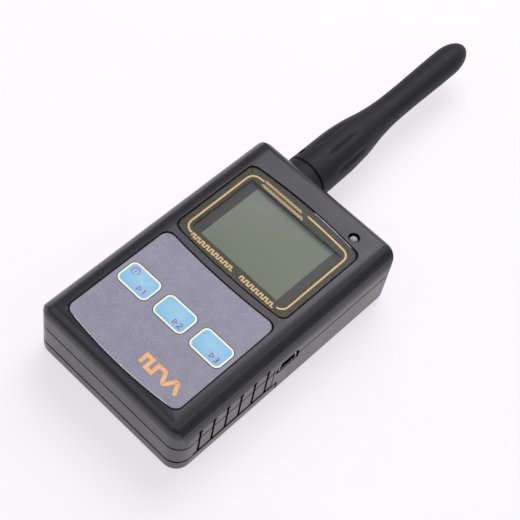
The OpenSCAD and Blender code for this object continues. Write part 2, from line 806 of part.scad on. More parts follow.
// Centre pin with the disc that carries the coil
module antenna_pin() {
    color([0.85, 0.68, 0.3]) on_axis() {
        translate([0, 0, flange_y + 4]) cylinder(h = 16.5, r = pin_r, $fn = 32);
        translate([0, 0, flange_y + 3.4]) cylinder(h = 0.6 + eps, r1 = 0.3, r2 = pin_r, $fn = 32);
        translate([0, 0, flange_y + 19.6]) cylinder(h = 0.9, r = 2.6, $fn = 48);
    }
}

module antenna_gasket() {
    color([0.7, 0.3, 0.25]) ring(barrel_end + 0.1, barrel_end + 0.6, 4.85, ferrule_r + 0.05);
}

front_cover();
rear_cover();
battery_door();
case_screws();
lens_window();
lens_adhesive();
keypad_overlay();
overlay_adhesive();
key_1();
key_2();
key_3();
lcd_glass();
lcd_frame();
backlight_panel();
elastomer_strips();
main_board();
board_screws();
switch_bodies();
switch_button_1();
switch_button_2();
switch_button_3();
status_led();
led_leads();
usb_shell();
usb_tongue();
shield_can();
oscillator_can();
integrated_circuits();
chip_parts();
battery_header();
battery_cell();
battery_foam();
battery_lead_red();
battery_lead_black();
battery_plug();
jack_body();
jack_insulator();
jack_contact();
jack_nut();
jack_washer();
ground_lug();
feed_wire();
antenna_sheath();
bayonet_collar();
antenna_coil();
antenna_ferrule();
antenna_insulator();
antenna_pin();
antenna_gasket();
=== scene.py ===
import json
import math

import bmesh
import bpy
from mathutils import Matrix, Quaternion, Vector


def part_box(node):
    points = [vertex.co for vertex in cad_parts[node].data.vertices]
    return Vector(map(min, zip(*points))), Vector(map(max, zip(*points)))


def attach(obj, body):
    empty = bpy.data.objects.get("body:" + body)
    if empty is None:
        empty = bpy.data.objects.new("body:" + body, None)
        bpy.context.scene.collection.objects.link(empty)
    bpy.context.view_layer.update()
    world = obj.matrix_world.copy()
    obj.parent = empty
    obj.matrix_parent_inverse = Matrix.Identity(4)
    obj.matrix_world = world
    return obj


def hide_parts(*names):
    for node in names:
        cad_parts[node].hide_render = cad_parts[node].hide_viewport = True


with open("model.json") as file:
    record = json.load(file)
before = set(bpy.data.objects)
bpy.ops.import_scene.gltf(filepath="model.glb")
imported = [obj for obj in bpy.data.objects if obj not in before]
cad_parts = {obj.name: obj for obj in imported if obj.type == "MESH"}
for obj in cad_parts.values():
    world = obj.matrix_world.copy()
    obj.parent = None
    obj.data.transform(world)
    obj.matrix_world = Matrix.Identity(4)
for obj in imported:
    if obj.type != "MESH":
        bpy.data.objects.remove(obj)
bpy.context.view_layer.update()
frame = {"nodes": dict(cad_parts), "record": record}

# Lengths in this script are millimetres in the CAD frame; MM turns them into metres.
MM = 0.001
nodes = frame["nodes"]


def box_mm(node):
    """Lowest and highest corner of a CAD node, in millimetres."""
    low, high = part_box(node)
    return low / MM, high / MM


# Where the CAD nodes lie that the pieces below are built on
LENS_TOP = box_mm("lens_window")[1].z
OVERLAY_TOP = box_mm("keypad_overlay")[1].z
GLASS_TOP = box_mm("lcd_glass")[1].z
CASE_END = box_mm("front_cover")[1].y
SHEATH_LOW, SHEATH_HIGH = box_mm("antenna_sheath")
LED_LOW, LED_HIGH = box_mm("status_led")


# --- Colours and node trees -------------------------------------------------------------

def srgb(red, green, blue):
    """Linear colour from 0 to 255 display values."""
    def linear(value):
        value /= 255
        return value / 12.92 if value <= 0.04045 else ((value + 0.055) / 1.055) ** 2.4
    return (linear(red), linear(green), linear(blue), 1)


def add(tree, kind, inputs=None, **settings):
    """Adds a node, sets its properties, and fills or links its inputs."""
    made = tree.nodes.new(kind)
    for name, value in settings.items():
        setattr(made, name, value)
    for name, value in (inputs or {}).items():
        socket = made.inputs[name]
        if isinstance(value, bpy.types.NodeSocket):
            tree.links.new(value, socket)
        else:
            socket.default_value = value
    return made


def mix(tree, factor, first, second, blend="MIX"):
    """Colour mix; its inputs are numbered 0, 6 and 7."""
    inputs = {0: factor, 6: first, 7: second}
    return add(tree, "ShaderNodeMix", inputs, data_type="RGBA", blend_type=blend).outputs[2]


def calc(tree, operation, first, second=0.0, clamp=False):
    """One step of arithmetic."""
    made = add(tree, "ShaderNodeMath", {0: first, 1: second}, operation=operation, use_clamp=clamp)
    return made.outputs[0]


def place(tree, stretch=(1, 1, 1)):
    """Position on the object at rest, which stays with it when its body moves."""
    where = add(tree, "ShaderNodeTexCoord").outputs["Object"]
    return add(tree, "ShaderNodeMapping", {"Vector": where, "Scale": stretch}).outputs[0]


def mottle(tree, where, size, detail):
    """Noise whose blotches are about size millimetres across."""
    inputs = {"Vector": where, "Scale": 1 / (size * MM), "Detail": detail, "Roughness": 0.6}
    return add(tree, "ShaderNodeTexNoise", inputs).outputs["Fac"]


def spread(tree, value, low, high, start=0.3, end=0.7):
    """Maps value, from start to end, to low to high; the defaults suit what mottle returns."""
    inputs = {"Value": value, "From Min": start, "From Max": end, "To Min": low, "To Max": high}
    return add(tree, "ShaderNodeMapRange", inputs, clamp=True).outputs[0]


def new_material(name):
    """New material, its node tree and its shader."""
    material = bpy.data.materials.new(name)
    material.use_nodes = True
    tree = material.node_tree
    return material, tree, tree.nodes["Principled BSDF"]


def feed(tree, shader, **values):
    """Links values to the shader's inputs, whose names have spaces for underscores."""
    for name, value in values.items():
        tree.links.new(value, shader.inputs[name.replace("_", " ")])


def set_inputs(shader, **values):
    """Sets the shader's inputs, whose names have spaces for underscores."""
    for name, value in values.items():
        shader.inputs[name.replace("_", " ")].default_value = value


def relief(tree, height, depth):
    """Bump up to depth millimetres deep."""
    inputs = {"Height": height, "Distance": depth * MM, "Strength": 1.0}
    return add(tree, "ShaderNodeBump", inputs).outputs[0]


# Colour that gaps and seams are darkened to: painted shade
PAINTED_SHADE_BLACK = srgb(3, 3, 3)
# Share of the sky that a point sees, where a gap counts as blind and where as open
AIR_BLIND = 0.55
AIR_OPEN = 0.95
# Light left on the line of a seam by its painted shade, and the width over which the line fades
SEAM_LEFT = 0.1
SEAM_FADE = 0.15


def open_air(tree, where, crevice, seams):
    """1 in the open; less along seams and in gaps under crevice millimetres, where painted shade
    darkens the surface.
    """
    sky = add(tree, "ShaderNodeAmbientOcclusion", {"Distance": crevice * MM}, samples=6)
    air = spread(tree, sky.outputs["AO"], 0, 1, AIR_BLIND, AIR_OPEN)
    for height, far_end, half in seams:
        apart = add(tree, "ShaderNodeSeparateXYZ", {"Vector": where})
        off = calc(tree, "ABSOLUTE", calc(tree, "SUBTRACT", apart.outputs["Z"], height * MM))
        beyond = calc(tree, "GREATER_THAN", apart.outputs["Y"], far_end * MM)
        beside = spread(tree, off, SEAM_LEFT, 1, half * MM, (half + SEAM_FADE) * MM)
        air = calc(tree, "MULTIPLY", air, calc(tree, "MAXIMUM", beyond, beside))
    return air


def surface(name, dark, light, rough, grain=0.3, bump=0.02, patch=9, speck=0.0, speck_color=None,
            metal=0.0, level=0.5, stretch=(1, 1, 1), scratches=0.0, crevice=0.0, seams=(),
            **constants):
    """Grained, mottled surface: two close colours, uneven roughness, fine bump, faint scratches.

    grain and patch are the sizes in millimetres of its fine and broad mottling, and bump is its
    depth; crevice, in millimetres, turns on painted shade in narrow gaps, and seams lists the lines
    where two mouldings meet, as (height, far end, half width), along which painted shade runs.
    """
    material, tree, shader = new_material(name)
    where = place(tree)
    fine = mottle(tree, place(tree, stretch), grain, 2)
    broad = mottle(tree, where, patch, 4)
    blend = calc(tree, "ADD", calc(tree, "MULTIPLY", fine, 0.45),
                 calc(tree, "MULTIPLY", broad, 0.55))
    color = mix(tree, spread(tree, blend, 0, 1, 0.38, 0.62), srgb(*dark), srgb(*light))
    if speck:
        dots = spread(tree, mottle(tree, where, grain * 0.8, 1), 0, speck, 0.6, 0.72)
        color = mix(tree, dots, color, srgb(*(speck_color or light)))
    # Painted shade: colour and reflection darken in gaps under crevice millimetres and along the
    # seams
    if crevice:
        air = open_air(tree, where, crevice, seams)
        color = mix(tree, air, PAINTED_SHADE_BLACK, color)
        feed(tree, shader, Specular_IOR_Level=calc(tree, "MULTIPLY", air, level))
    roughness = spread(tree, broad, *rough)
    height = calc(tree, "ADD", fine, calc(tree, "MULTIPLY", broad, 0.3))
    if scratches:
        lines = mottle(tree, place(tree, (1, 0.04, 0.3)), 0.35, 1)
        marks = spread(tree, lines, 0, scratches, 0.68, 0.74)
        roughness = calc(tree, "ADD", roughness, marks, True)
        height = calc(tree, "SUBTRACT", height, marks)
    feed(tree, shader, Base_Color=color, Roughness=roughness, Normal=relief(tree, height, bump))
    set_inputs(shader, Metallic=metal, Specular_IOR_Level=level, **constants)
    return material


# --- Materials --------------------------------------------------------------------------

def lens_material():
    """Clear polished plastic: sees through, reflects sharply, with faint wiping marks."""
    material, tree, shader = new_material("lens_clear")
    haze = mottle(tree, place(tree, (0.3, 1, 1)), 7, 1)
    color = mix(tree, haze, srgb(16, 20, 17), srgb(24, 28, 24))
    feed(tree, shader, Base_Color=color, Roughness=spread(tree, haze, 0.06, 0.12),
         Normal=relief(tree, haze, 0.004))
    set_inputs(shader, Alpha=0.16, IOR=2.1)
    return material


def lcd_material():
    """Liquid-crystal glass: grey at its upper left, greener at its lower right, evenly grained."""
    material, tree, shader = new_material("lcd")
    where = place(tree)
    apart = add(tree, "ShaderNodeSeparateXYZ", {"Vector": where})
    across = calc(tree, "SUBTRACT", apart.outputs["X"], apart.outputs["Y"])
    drift = calc(tree, "ADD", calc(tree, "MULTIPLY", mottle(tree, where, 14, 2), 0.012), across)
    green = spread(tree, drift, 0, 1, -44 * MM, -12 * MM)
    grain = mottle(tree, where, 0.25, 1)
    color = mix(tree, green, srgb(136, 140, 122), srgb(110, 129, 95))
    color = mix(tree, spread(tree, grain, 0, 0.12), color, srgb(115, 128, 101))
    feed(tree, shader, Base_Color=color, Roughness=spread(tree, grain, 0.4, 0.5),
         Normal=relief(tree, grain, 0.001))
    return material


def key_material():
    """Printed membrane key: cyan, paler and warmer towards its middle, with a soft grain."""
    material, tree, shader = new_material("key_cyan")
    plan = add(tree, "ShaderNodeTexCoord").outputs["UV"]
    middle = (0.5, 0.55, 0)
    apart = add(tree, "ShaderNodeVectorMath", {0: plan, 1: middle}, operation="DISTANCE")
    cloud = mottle(tree, place(tree), 2.2, 3)
    grain = mottle(tree, place(tree), 0.16, 2)
    glow = calc(tree, "MULTIPLY", spread(tree, apart.outputs["Value"], 1, 0, 0.02, 0.5),
                spread(tree, cloud, 0.2, 0.9))
    color = mix(tree, glow, srgb(129, 185, 215), srgb(172, 207, 218))
    color = mix(tree, spread(tree, grain, 0, 0.25), color, srgb(114, 173, 205))
    feed(tree, shader, Base_Color=color, Roughness=spread(tree, cloud, 0.42, 0.58),
         Normal=relief(tree, grain, 0.012))
    return material


def board_material():
    """Green solder mask over a net of raised copper tracks."""
    material, tree, shader = new_material("board")
    where = place(tree)
    net = {"Vector": where, "Scale": 1 / (3.2 * MM), "Mortar Size": 0.09,
           "Color1": srgb(14, 82, 48), "Color2": srgb(12, 74, 44), "Mortar": srgb(34, 112, 66)}
    tracks = add(tree, "ShaderNodeTexBrick", net)
    tint = mottle(tree, where, 6, 3)
    color = mix(tree, spread(tree, tint, 0, 0.5), tracks.outputs["Color"], srgb(10, 62, 38))
    feed(tree, shader, Base_Color=color, Roughness=spread(tree, tint, 0.25, 0.4),
         Normal=relief(tree, tracks.outputs["Fac"], 0.03))
    return material


# Seams round the case and over the battery door, darkened with painted shade: height, y where each
# ends, half width
CASE_SEAM = (15.5, 60, 0.42)
DOOR_SEAM = (6.8, -6, 0.5)

# Look of each material slot: darker and lighter colour, and the range of its roughness; crevice
# adds painted shade in its gaps
LOOKS = {
    "case_black": surface("case_black", (24, 24, 27), (33, 32, 37), (0.24, 0.33), grain=0.24,
                          bump=0.032, speck=0.6, speck_color=(74, 72, 84), level=0.64,
                          crevice=1.5, seams=(CASE_SEAM,)),
    "case_rear": surface("case_rear", (29, 28, 30), (38, 37, 39), (0.25, 0.34), grain=0.26,
                         bump=0.036, speck=0.6, speck_color=(80, 77, 82), level=0.85,
                         crevice=1.5, seams=(CASE_SEAM, DOOR_SEAM)),
    "lens_clear": lens_material(),
    "overlay": surface("overlay", (127, 125, 139), (141, 139, 153), (0.42, 0.55), bump=0.036,
                       patch=5, speck=0.8, speck_color=(178, 176, 194)),
    "adhesive": surface("adhesive", (186, 182, 168), (202, 198, 184), (0.6, 0.8)),
    "key_cyan": key_material(),
    "lcd": lcd_material(),
    "white_plastic": surface("white_plastic", (206, 205, 197), (220, 219, 212), (0.35, 0.5)),
    "elastomer": surface("elastomer", (206, 132, 142), (220, 150, 158), (0.6, 0.75),
                         stretch=(8, 1, 1)),
    "board": board_material(),
    "steel": surface("steel", (150, 150, 154), (182, 182, 186), (0.25, 0.42), metal=1.0, grain=0.15,
                     scratches=0.12),
    "black_plastic": surface("black_plastic", (24, 24, 25), (34, 34, 35), (0.35, 0.5)),
    "button_tan": surface("button_tan", (180, 172, 154), (194, 187, 170), (0.4, 0.55)),
    "led_clear": surface("led_clear", (142, 141, 139), (172, 171, 168), (0.22, 0.34), patch=0.9,
                         bump=0.004, Coat_Weight=0.3, Coat_Roughness=0.2),
    "tin": surface("tin", (176, 175, 174), (206, 205, 203), (0.22, 0.4), metal=1.0, grain=0.2,
                   patch=2, scratches=0.15, crevice=6),
    "chip_black": surface("chip_black", (22, 22, 23), (32, 32, 33), (0.5, 0.7), grain=0.12),
    "chip_brown": surface("chip_brown", (120, 92, 66), (142, 112, 82), (0.4, 0.6), grain=0.12),
    "battery_wrap": surface("battery_wrap", (176, 180, 186), (200, 204, 210), (0.3, 0.5), metal=0.7,
                            patch=7, bump=0.08, grain=1.1),
    "foam": surface("foam", (34, 34, 36), (52, 52, 55), (0.85, 1.0), grain=0.45, bump=0.25),
    "wire_red": surface("wire_red", (150, 22, 20), (172, 34, 30), (0.35, 0.5), grain=0.4),
    "wire_black": surface("wire_black", (20, 20, 21), (32, 32, 33), (0.35, 0.5), grain=0.4),
    "nickel": surface("nickel", (182, 178, 168), (212, 208, 198), (0.16, 0.32), metal=1.0,
                      grain=0.12, stretch=(1, 14, 1), bump=0.006, scratches=0.1),
    "gold": surface("gold", (206, 160, 76), (230, 186, 100), (0.2, 0.35), metal=1.0, grain=0.12,
                    bump=0.006),
    "ptfe": surface("ptfe", (224, 224, 222), (238, 238, 236), (0.4, 0.55)),
    "copper": surface("copper", (184, 112, 74), (210, 136, 92), (0.25, 0.4), metal=1.0, grain=0.2,
                      bump=0.01),
    "antenna_rubber": surface("antenna_rubber", (27, 27, 28), (34, 34, 35), (0.5, 0.62), grain=0.18,
                              bump=0.014, patch=14, speck=0.25, speck_color=(52, 52, 54),
                              level=0.36, crevice=1.6),
    "silicone": surface("silicone", (150, 62, 48), (168, 78, 60), (0.5, 0.65)),
}

# Inks that lie on the pieces above, the painted highlights on two edges, and the painted shade in
# the gaps round the window and the overlay
INK_MASK = surface("ink_mask", (40, 45, 14), (47, 52, 20), (0.5, 0.65), grain=0.35, bump=0.001)
INK_GOLD = surface("ink_gold", (229, 188, 114), (241, 206, 138), (0.32, 0.48), grain=0.18,
                   bump=0.003, patch=3)
INK_ORANGE = surface("ink_orange", (222, 158, 98), (240, 184, 124), (0.45, 0.6), bump=0.01,
                     patch=2, speck=0.4, speck_color=(248, 208, 156))
INK_CREAM = surface("ink_cream", (230, 234, 194), (242, 244, 218), (0.4, 0.55), grain=0.2,
                    bump=0.008)
INK_PLUM = surface("ink_plum", (150, 62, 116), (168, 80, 132), (0.45, 0.6), grain=0.15, bump=0.004)
INK_BORDER = surface("ink_border", (22, 26, 8), (29, 33, 13), (0.5, 0.65), bump=0.001, level=0.3)
# Pale colour of the painted highlights along two edges
PAINTED_HIGHLIGHT = surface("painted_highlight", (150, 151, 150), (226, 227, 226), (0.2, 0.35), grain=0.8, patch=3,
                   bump=0.004)
# Near-black of the painted shade in the gaps round the window and the overlay
PAINTED_GAP_SHADE = surface("painted_gap_shade", (9, 9, 10), (15, 15, 16), (0.7, 0.9), bump=0.01)

for row in frame["record"]["subparts"]:
    node, look = nodes[row["node"]], LOOKS[row["material_slot"]]
    if node.material_slots:
        for held in node.material_slots:
            held.material = look
    else:
        node.data.materials.append(look)


# --- Outlines ---------------------------------------------------------------------------

def arc(cx, cy, radius, start, end, steps=8):
    """Points along an arc, between two angles in degrees."""
    turns = [math.radians(start + (end - start) * i / steps) for i in range(steps + 1)]
    return [(cx + radius * math.cos(t), cy + radius * math.sin(t)) for t in turns]


def circle(cx, cy, radius, count=24):
    """Points round a circle."""
    return arc(cx, cy, radius, 0, 360, count)[:-1]


def rounded(cx, cy, width, length, radius, steps=8):
    """Rounded rectangle, counter-clockwise from its right-hand side."""
    x, y = width / 2 - radius, length / 2 - radius
    corners = ((x, y, 0), (-x, y, 90), (-x, -y, 180), (x, -y, 270))
    return [p for ox, oy, a in corners for p in arc(cx + ox, cy + oy, radius, a, a + 90, steps)]


PANEL_HALF = 23.7
PANEL_CORNER = 3.0
PANEL_STEPS = 24
# The same edges as in the CAD: lower edge, upper edge, and how far each one's middle lies lower
LENS_EDGES = (1.65, 36.85, 1.1, -1.45)
OVERLAY_EDGES = (-44.0, -1.6, 1.7, 1.1)
EDGE_GAP = 0.5


def bowed(edge, bow, x, half=PANEL_HALF):
    """Bowed edge's y at x: edge at the sides, and less by bow in the middle."""
    return edge - bow * (1 - (x / half) ** 2)


def panel_outline(edges, grow):
    """Panel outline grown by grow: straight sides, bowed ends, rounded corners."""
    half, radius = PANEL_HALF + grow, PANEL_CORNER + grow
    x = half - radius

    def lower(u):
        return bowed(edges[0] - grow, edges[2], u, half)

    def upper(u):
        return bowed(edges[1] + grow, edges[3], u, half)

    run = [-x + 2 * x * i / PANEL_STEPS for i in range(1, PANEL_STEPS)]
    return (
        [(u, lower(u)) for u in run]
        + arc(x, lower(x) + radius, radius, 270, 360)
        + arc(x, upper(x) - radius, radius, 0, 90)
        + [(-u, upper(u)) for u in run]
        + arc(-x, upper(x) - radius, radius, 90, 180)
        + arc(-x, lower(x) + radius, radius, 180, 270)
    )


# --- Mesh makers ------------------------------------------------------------------------

# Points of a new mesh closer than this, in millimetres, are one point
SAME_POINT = 1e-4


def make_object(name, mesh, material):
    """Puts a bmesh in millimetres into the scene, in metres."""
    for vert in mesh.verts:
        vert.co *= MM
    data = bpy.data.meshes.new(name)
    mesh.to_mesh(data)
    mesh.free()
    data.materials.append(material)
    made = bpy.data.objects.new(name, data)
    bpy.context.scene.collection.objects.link(made)
    return made


def finish_piece(name, mesh, material, body, smooth_angle=35):
    """Turns a bmesh into a piece that rides on a body."""
    bmesh.ops.remove_doubles(mesh, verts=mesh.verts, dist=SAME_POINT)
    bmesh.ops.recalc_face_normals(mesh, faces=mesh.faces)
    piece = make_object(name, mesh, material)
    piece.data.set_sharp_from_angle(angle=math.radians(smooth_angle))
    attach(piece, body)
    return piece


def soften(piece, width):
    """Rounds a CAD shell's sharp edges and evens the shading of the faces between them."""
    piece.modifiers.new("weld", "WELD").merge_threshold = 0.002 * MM
    flat = piece.modifiers.new("flat", "DECIMATE")
    flat.decimate_type = "DISSOLVE"
    flat.angle_limit = math.radians(0.4)
    edge = piece.modifiers.new("edge", "BEVEL")
    edge.width = width * MM
    edge.segments = 2
    edge.limit_method = "ANGLE"
    edge.angle_limit = math.radians(38)
    edge.use_clamp_overlap = True
    edge.harden_normals = False
    even = piece.modifiers.new("even", "WEIGHTED_NORMAL")
    even.keep_sharp = False
    even.weight = 90


def plate(mesh, outer, holes, low, high):
    """Flat plate with holes between two heights."""
    edges = []
    for loop in [outer] + holes:
        verts = [mesh.verts.new((x, y, high)) for x, y in loop]
        edges += [mesh.edges.new((verts[i - 1], verts[i])) for i in range(len(verts))]
    filled = bmesh.ops.triangle_fill(mesh, use_beauty=True, use_dissolve=False, edges=edges)
    faces = [f for f in filled["geom"] if isinstance(f, bmesh.types.BMFace)]
    grown = bmesh.ops.extrude_face_region(mesh, geom=faces)
    sunk = [v for v in grown["geom"] if isinstance(v, bmesh.types.BMVert)]
    bmesh.ops.translate(mesh, verts=sunk, vec=(0, 0, low - high))


# A sharp turn's mitre reaches no further out than half the width over this
MITRE_LIMIT = 0.4


def stroke(mesh, points, width, low, high, closed=False):
    """Printed line of one width along points, with mitred turns."""
    count = len(points)
    rows = []
    for i, (x, y) in enumerate(points):
        before = points[i - 1] if closed or i else points[i]
        after = points[(i + 1) % count] if closed or i < count - 1 else points[i]
        into = Vector((x - before[0], y - before[1])).normalized() if before != (x, y) else None
        out = Vector((after[0] - x, after[1] - y)).normalized() if after != (x, y) else None
        into, out = into or out, out or into
        side = Vector((-(into.y + out.y), into.x + out.x)).normalized()
        reach = width / 2 / max(side.dot(Vector((-into.y, into.x))), MITRE_LIMIT)
        rows.append([mesh.verts.new((x + side.x * s * reach, y + side.y * s * reach, z))
                     for s, z in ((1, low), (1, high), (-1, high), (-1, low))])
    for i in range(count if closed else count - 1):
        a, b = rows[i], rows[(i + 1) % count]
        for k in range(4):
            mesh.faces.new((a[k], b[k], b[(k + 1) % 4], a[(k + 1) % 4]))
    if not closed:
        mesh.faces.new(rows[0])
        mesh.faces.new(rows[-1][::-1])


def skin(mesh, rings):
    """Faces between rings of points, each of which has as many as the next."""
    count = len(rings[0])
    for a, b in zip(rings, rings[1:]):
        for i in range(count):
            mesh.faces.new((a[i], a[(i + 1) % count], b[(i + 1) % count], b[i]))


def close_tip(mesh, ring, tip):
    """Fan of faces from the last ring to the tip."""
    top = mesh.verts.new(tip)
    for i in range(len(ring)):
        mesh.faces.new((ring[i], ring[(i + 1) % len(ring)], top))


# --- Case: the CAD shells, with softened edges ------------------------------------------

for name, width in (("front_cover", 0.1), ("rear_cover", 0.1), ("battery_door", 0.1),
                    ("keypad_overlay", 0.08), ("lens_window", 0.16)):
    soften(nodes[name], width)


# --- Display: what is printed and shaded in and round the window --------------------------

# The prints lie under the window, one ink on another
PRINT_TOP = LENS_TOP - 0.22
INK_THICK = 0.03
MASK_CENTRE = (0.0, 19.0)
MASK_SIZE = (40.0, 27.4)
VIEW_CENTRE = (0.0, 19.5)
VIEW_SIZE = (33.4, 26.8)
BORDER_SIZE = (41.6, 30.2)
GOLD_HALF = 21.4
GOLD_LOW = 3.4
GOLD_UP = 34.6
GOLD_BOW = -1.1
GOLD_WIDTH = 0.6
GOLD_CORNER = 3.0
# The gold line is open at the top where two rows of marks stand
TOP_GAP = (-16.7, 2.4)
# Trains of square pulses: left, right, low, high, number of pulses, line width
PULSE_ROWS = (
    (-16.3, 0.2, 35.1, 35.7, 12, 0.3),
    (-16.1, 2.3, 33.25, 33.95, 12, 0.3),
    (-17.7, 0.8, 2.4, 3.6, 9, 0.5),
    (3.6, 18.5, 2.4, 3.6, 7, 0.5),
)
# Dark ring of painted shade in the gaps round the window and the overlay: its thickness, and its
# play in the gap that it fills
SHADE_RING_THICK = 0.15
SHADE_RING_PLAY = 0.01
# Width of the painted highlights along the window's and the overlay's edges
PAINTED_HIGHLIGHT_WIDTH = 0.16


def window_mask():
    """Olive print that covers the window's rim."""
    mesh = bmesh.new()
    outline = panel_outline(LENS_EDGES, -0.12)
    opening = rounded(*MASK_CENTRE, *MASK_SIZE, 0.8)
    plate(mesh, outline, [opening], PRINT_TOP - 2 * INK_THICK, PRINT_TOP - INK_THICK)
    finish_piece("window_mask", mesh, INK_MASK, "case")


def display_border():
    """The display's own dark border, printed on its upper glass."""
    mesh = bmesh.new()
    outline = rounded(*VIEW_CENTRE, *BORDER_SIZE, 0.4)
    view = rounded(*VIEW_CENTRE, *VIEW_SIZE, 0.3)
    plate(mesh, outline, [view], GLASS_TOP + 0.005, GLASS_TOP + INK_THICK)
    finish_piece("display_border", mesh, INK_BORDER, "case")


def gap_shade_rings():
    """Dark ring in the gap round the window and the overlay: painted shade."""
    for name, edges, top in (("window_gap_shade", LENS_EDGES, LENS_TOP - 0.35),
                             ("overlay_gap_shade", OVERLAY_EDGES, OVERLAY_TOP - 0.2)):
        mesh = bmesh.new()
        outside = panel_outline(edges, EDGE_GAP - SHADE_RING_PLAY)
        inside = panel_outline(edges, SHADE_RING_PLAY)
        plate(mesh, outside, [inside], top - SHADE_RING_THICK, top)
        finish_piece(name, mesh, PAINTED_GAP_SHADE, "case")


def painted_highlight(name, edge, bow, first, last, top):
    """Pale strip along a sheet's edge, from first to last in x: a painted highlight where the edge
    would catch the light.
    """
    mesh = bmesh.new()
    line = [(x, bowed(edge, bow, x)) for x in range(first, last + 1)]
    stroke(mesh, line, PAINTED_HIGHLIGHT_WIDTH, top - 0.05, top + 0.01)
    finish_piece(name, mesh, PAINTED_HIGHLIGHT, "case")


def painted_highlights():
    """Painted highlights along the window's upper edge and the overlay's lower edge."""
    inward = PAINTED_HIGHLIGHT_WIDTH / 2
    painted_highlight("window_painted_highlight", LENS_EDGES[1] - inward, LENS_EDGES[3], 3, 20, LENS_TOP)
    painted_highlight("overlay_painted_highlight", OVERLAY_EDGES[0] + inward, OVERLAY_EDGES[2], -20, 20, OVERLAY_TOP)


def gold_line():
    """Outline inside the window's edge, in two runs that are open at the top and the bottom."""
    def top_run(start, end, shares):
        across = [start + (end - start) * share for share in shares]
        return [(x, bowed(GOLD_UP, GOLD_BOW, x, GOLD_HALF)) for x in across]

    side = GOLD_HALF - GOLD_CORNER
    low = GOLD_LOW + GOLD_CORNER
    high = bowed(GOLD_UP, GOLD_BOW, side, GOLD_HALF) - GOLD_CORNER
    right = (top_run(TOP_GAP[1], side, [i / 12 for i in range(12)])
             + arc(side, high, GOLD_CORNER, 88, 0) + arc(side, low, GOLD_CORNER, 0, -80))
    left = (arc(-side, low, GOLD_CORNER, 276, 180) + arc(-side, high, GOLD_CORNER, 180, 92)
            + top_run(-side, TOP_GAP[0], [i / 3 for i in (1, 2, 3)]))
    mesh = bmesh.new()
    for run in (right, left):
        stroke(mesh, run, GOLD_WIDTH, PRINT_TOP - INK_THICK, PRINT_TOP)
    finish_piece("gold_line", mesh, INK_GOLD, "case")


def pulse_row(mesh, left, right, low, high, count, width):
    """Row of square pulses drawn in one line."""
    start = left + width / 2
    half = (right - left - width) / (2 * count)
    points = [(start, low)]
    for i in range(2 * count):
        level = low if i % 2 else high
        points += [(start + (i + k) * half, level) for k in (0, 1)]
    stroke(mesh, points, width, PRINT_TOP - INK_THICK, PRINT_TOP)


def window_marks():
    """Generic marks: two trains of pulses at the top, and one in two parts along the bottom."""
    mesh = bmesh.new()
    for row in PULSE_ROWS:
        pulse_row(mesh, *row)
    finish_piece("window_marks", mesh, INK_GOLD, "case")


# --- Key overlay print -------------------------------------------------------------------

WAVE_LEFT = 4.55
WAVE_RIGHT = 19.75
WAVE_MIDDLE = -38.95
WAVE_SWING = 1.7
WAVE_LINE = 1.3
# Width of a square half-wave, and the number of half-waves that are square and that are sine
SQUARE_HALF = 2.5
SQUARE_COUNT = 3
SINE_COUNT = 3
SINE_STEPS = 40


def wave_mark():
    """Generic mark: a square wave that turns into a sine wave, drawn in one line."""
    mesh = bmesh.new()
    points = [(WAVE_LEFT, WAVE_MIDDLE - WAVE_SWING)]
    for i in range(SQUARE_COUNT):
        level = WAVE_MIDDLE + (-WAVE_SWING if i % 2 else WAVE_SWING)
        points += [(WAVE_LEFT + (i + k) * SQUARE_HALF, level) for k in (0, 1)]
    turn = WAVE_LEFT + SQUARE_COUNT * SQUARE_HALF
    for i in range(1, SINE_STEPS + 1):
        share = i / SINE_STEPS
        points.append((turn + (WAVE_RIGHT - turn) * share,
                       WAVE_MIDDLE + WAVE_SWING * math.cos(SINE_COUNT * math.pi * share)))
    stroke(mesh, points, WAVE_LINE, OVERLAY_TOP - 0.01, OVERLAY_TOP + 0.02)
    finish_piece("wave_mark", mesh, INK_ORANGE, "case")


# --- Keys --------------------------------------------------------------------------------

KEY_CORNER = 2.2
KEY_DOME = 0.1
KEY_RIM = 0.35
KEY_CROWN_STEPS = 7
# Retaining flange, which reaches out under the overlay, and the stem below it
FLANGE_OUT = 1.0
FLANGE_CORNER = 3.0
FLANGE_LOW = 0.25
FLANGE_HIGH = 0.75
STEM_RADIUS = 1.6
# Cream line round the key
KEY_LINE = 0.6
KEY_LINE_INSET = 0.35
# Numeral, arrow and on/off symbol, placed from the key's centre
NUMERAL_PLACE = (3.9, -2.9)
NUMERAL_TALL = 2.1
NUMERAL_LINE = 0.35
ARROW_LEFT = 1.35
ARROW_RIGHT = 2.6
SYMBOL_PLACE = (-3.32, 1.64)
SYMBOL_RADIUS = 1.31
SYMBOL_BAR = 0.6
SYMBOL_LINE = 0.28


